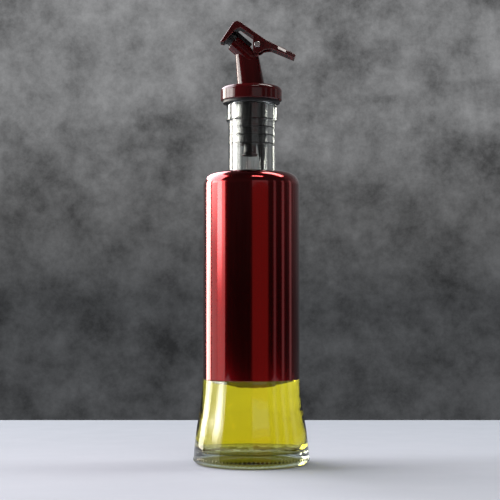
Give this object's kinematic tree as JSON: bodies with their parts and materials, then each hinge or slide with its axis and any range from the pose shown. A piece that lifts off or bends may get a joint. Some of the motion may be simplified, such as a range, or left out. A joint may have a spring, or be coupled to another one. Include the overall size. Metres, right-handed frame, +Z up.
{
  "type": "oil dispenser bottle",
  "caption": "Flared glass oil bottle in a red metal sleeve, with a black rubber stopper and a lever pourer that opens its sealed spout when the thumb tab is pressed.",
  "frame": {"origin": "centre of the base, on the surface that the bottle stands on", "axes": "+Z up along the bottle's axis; the spout points along -X and the thumb tab along +X; +Y completes a right-handed frame"},
  "size_m": [0.069, 0.069, 0.265],
  "materials": {
    "clear_glass": "clear, slightly green, polished",
    "red_lacquer": "translucent red lacquer over polished metal",
    "oil": "clear yellow olive oil",
    "black_rubber": "satin moulded rubber",
    "black_plastic": "satin moulded plastic",
    "red_plastic": "glossy dark red",
    "steel": "bright drawn steel"
  },
  "bodies": {
    "bottle": {"glass_bottle": "clear_glass", "metal_sleeve": "red_lacquer", "olive_oil": "oil"},
    "pourer": {"pourer_body": "red_plastic", "rubber_stopper": "black_rubber", "pour_tube": "black_plastic", "vent_tube": "black_plastic", "pivot_pin": "steel", "torsion_spring": "steel"},
    "lever": {"flip_lever": "red_plastic", "lever_seal": "black_rubber"}
  },
  "joints": [
    {"name": "pourer_lift", "type": "slide", "parent": "bottle", "child": "pourer", "axis": [0, 0, 1], "range_m": [0, 0.075]},
    {"name": "lever_hinge", "type": "hinge", "parent": "pourer", "child": "lever", "pos_m": [0.0035, 0, 0.2508], "axis": [0, 1, 0], "range_deg": [0, 30], "stiffness_Nm_per_rad": 0.05, "springref_deg": -17.19, "deforming": ["torsion_spring"]}
  ]
}
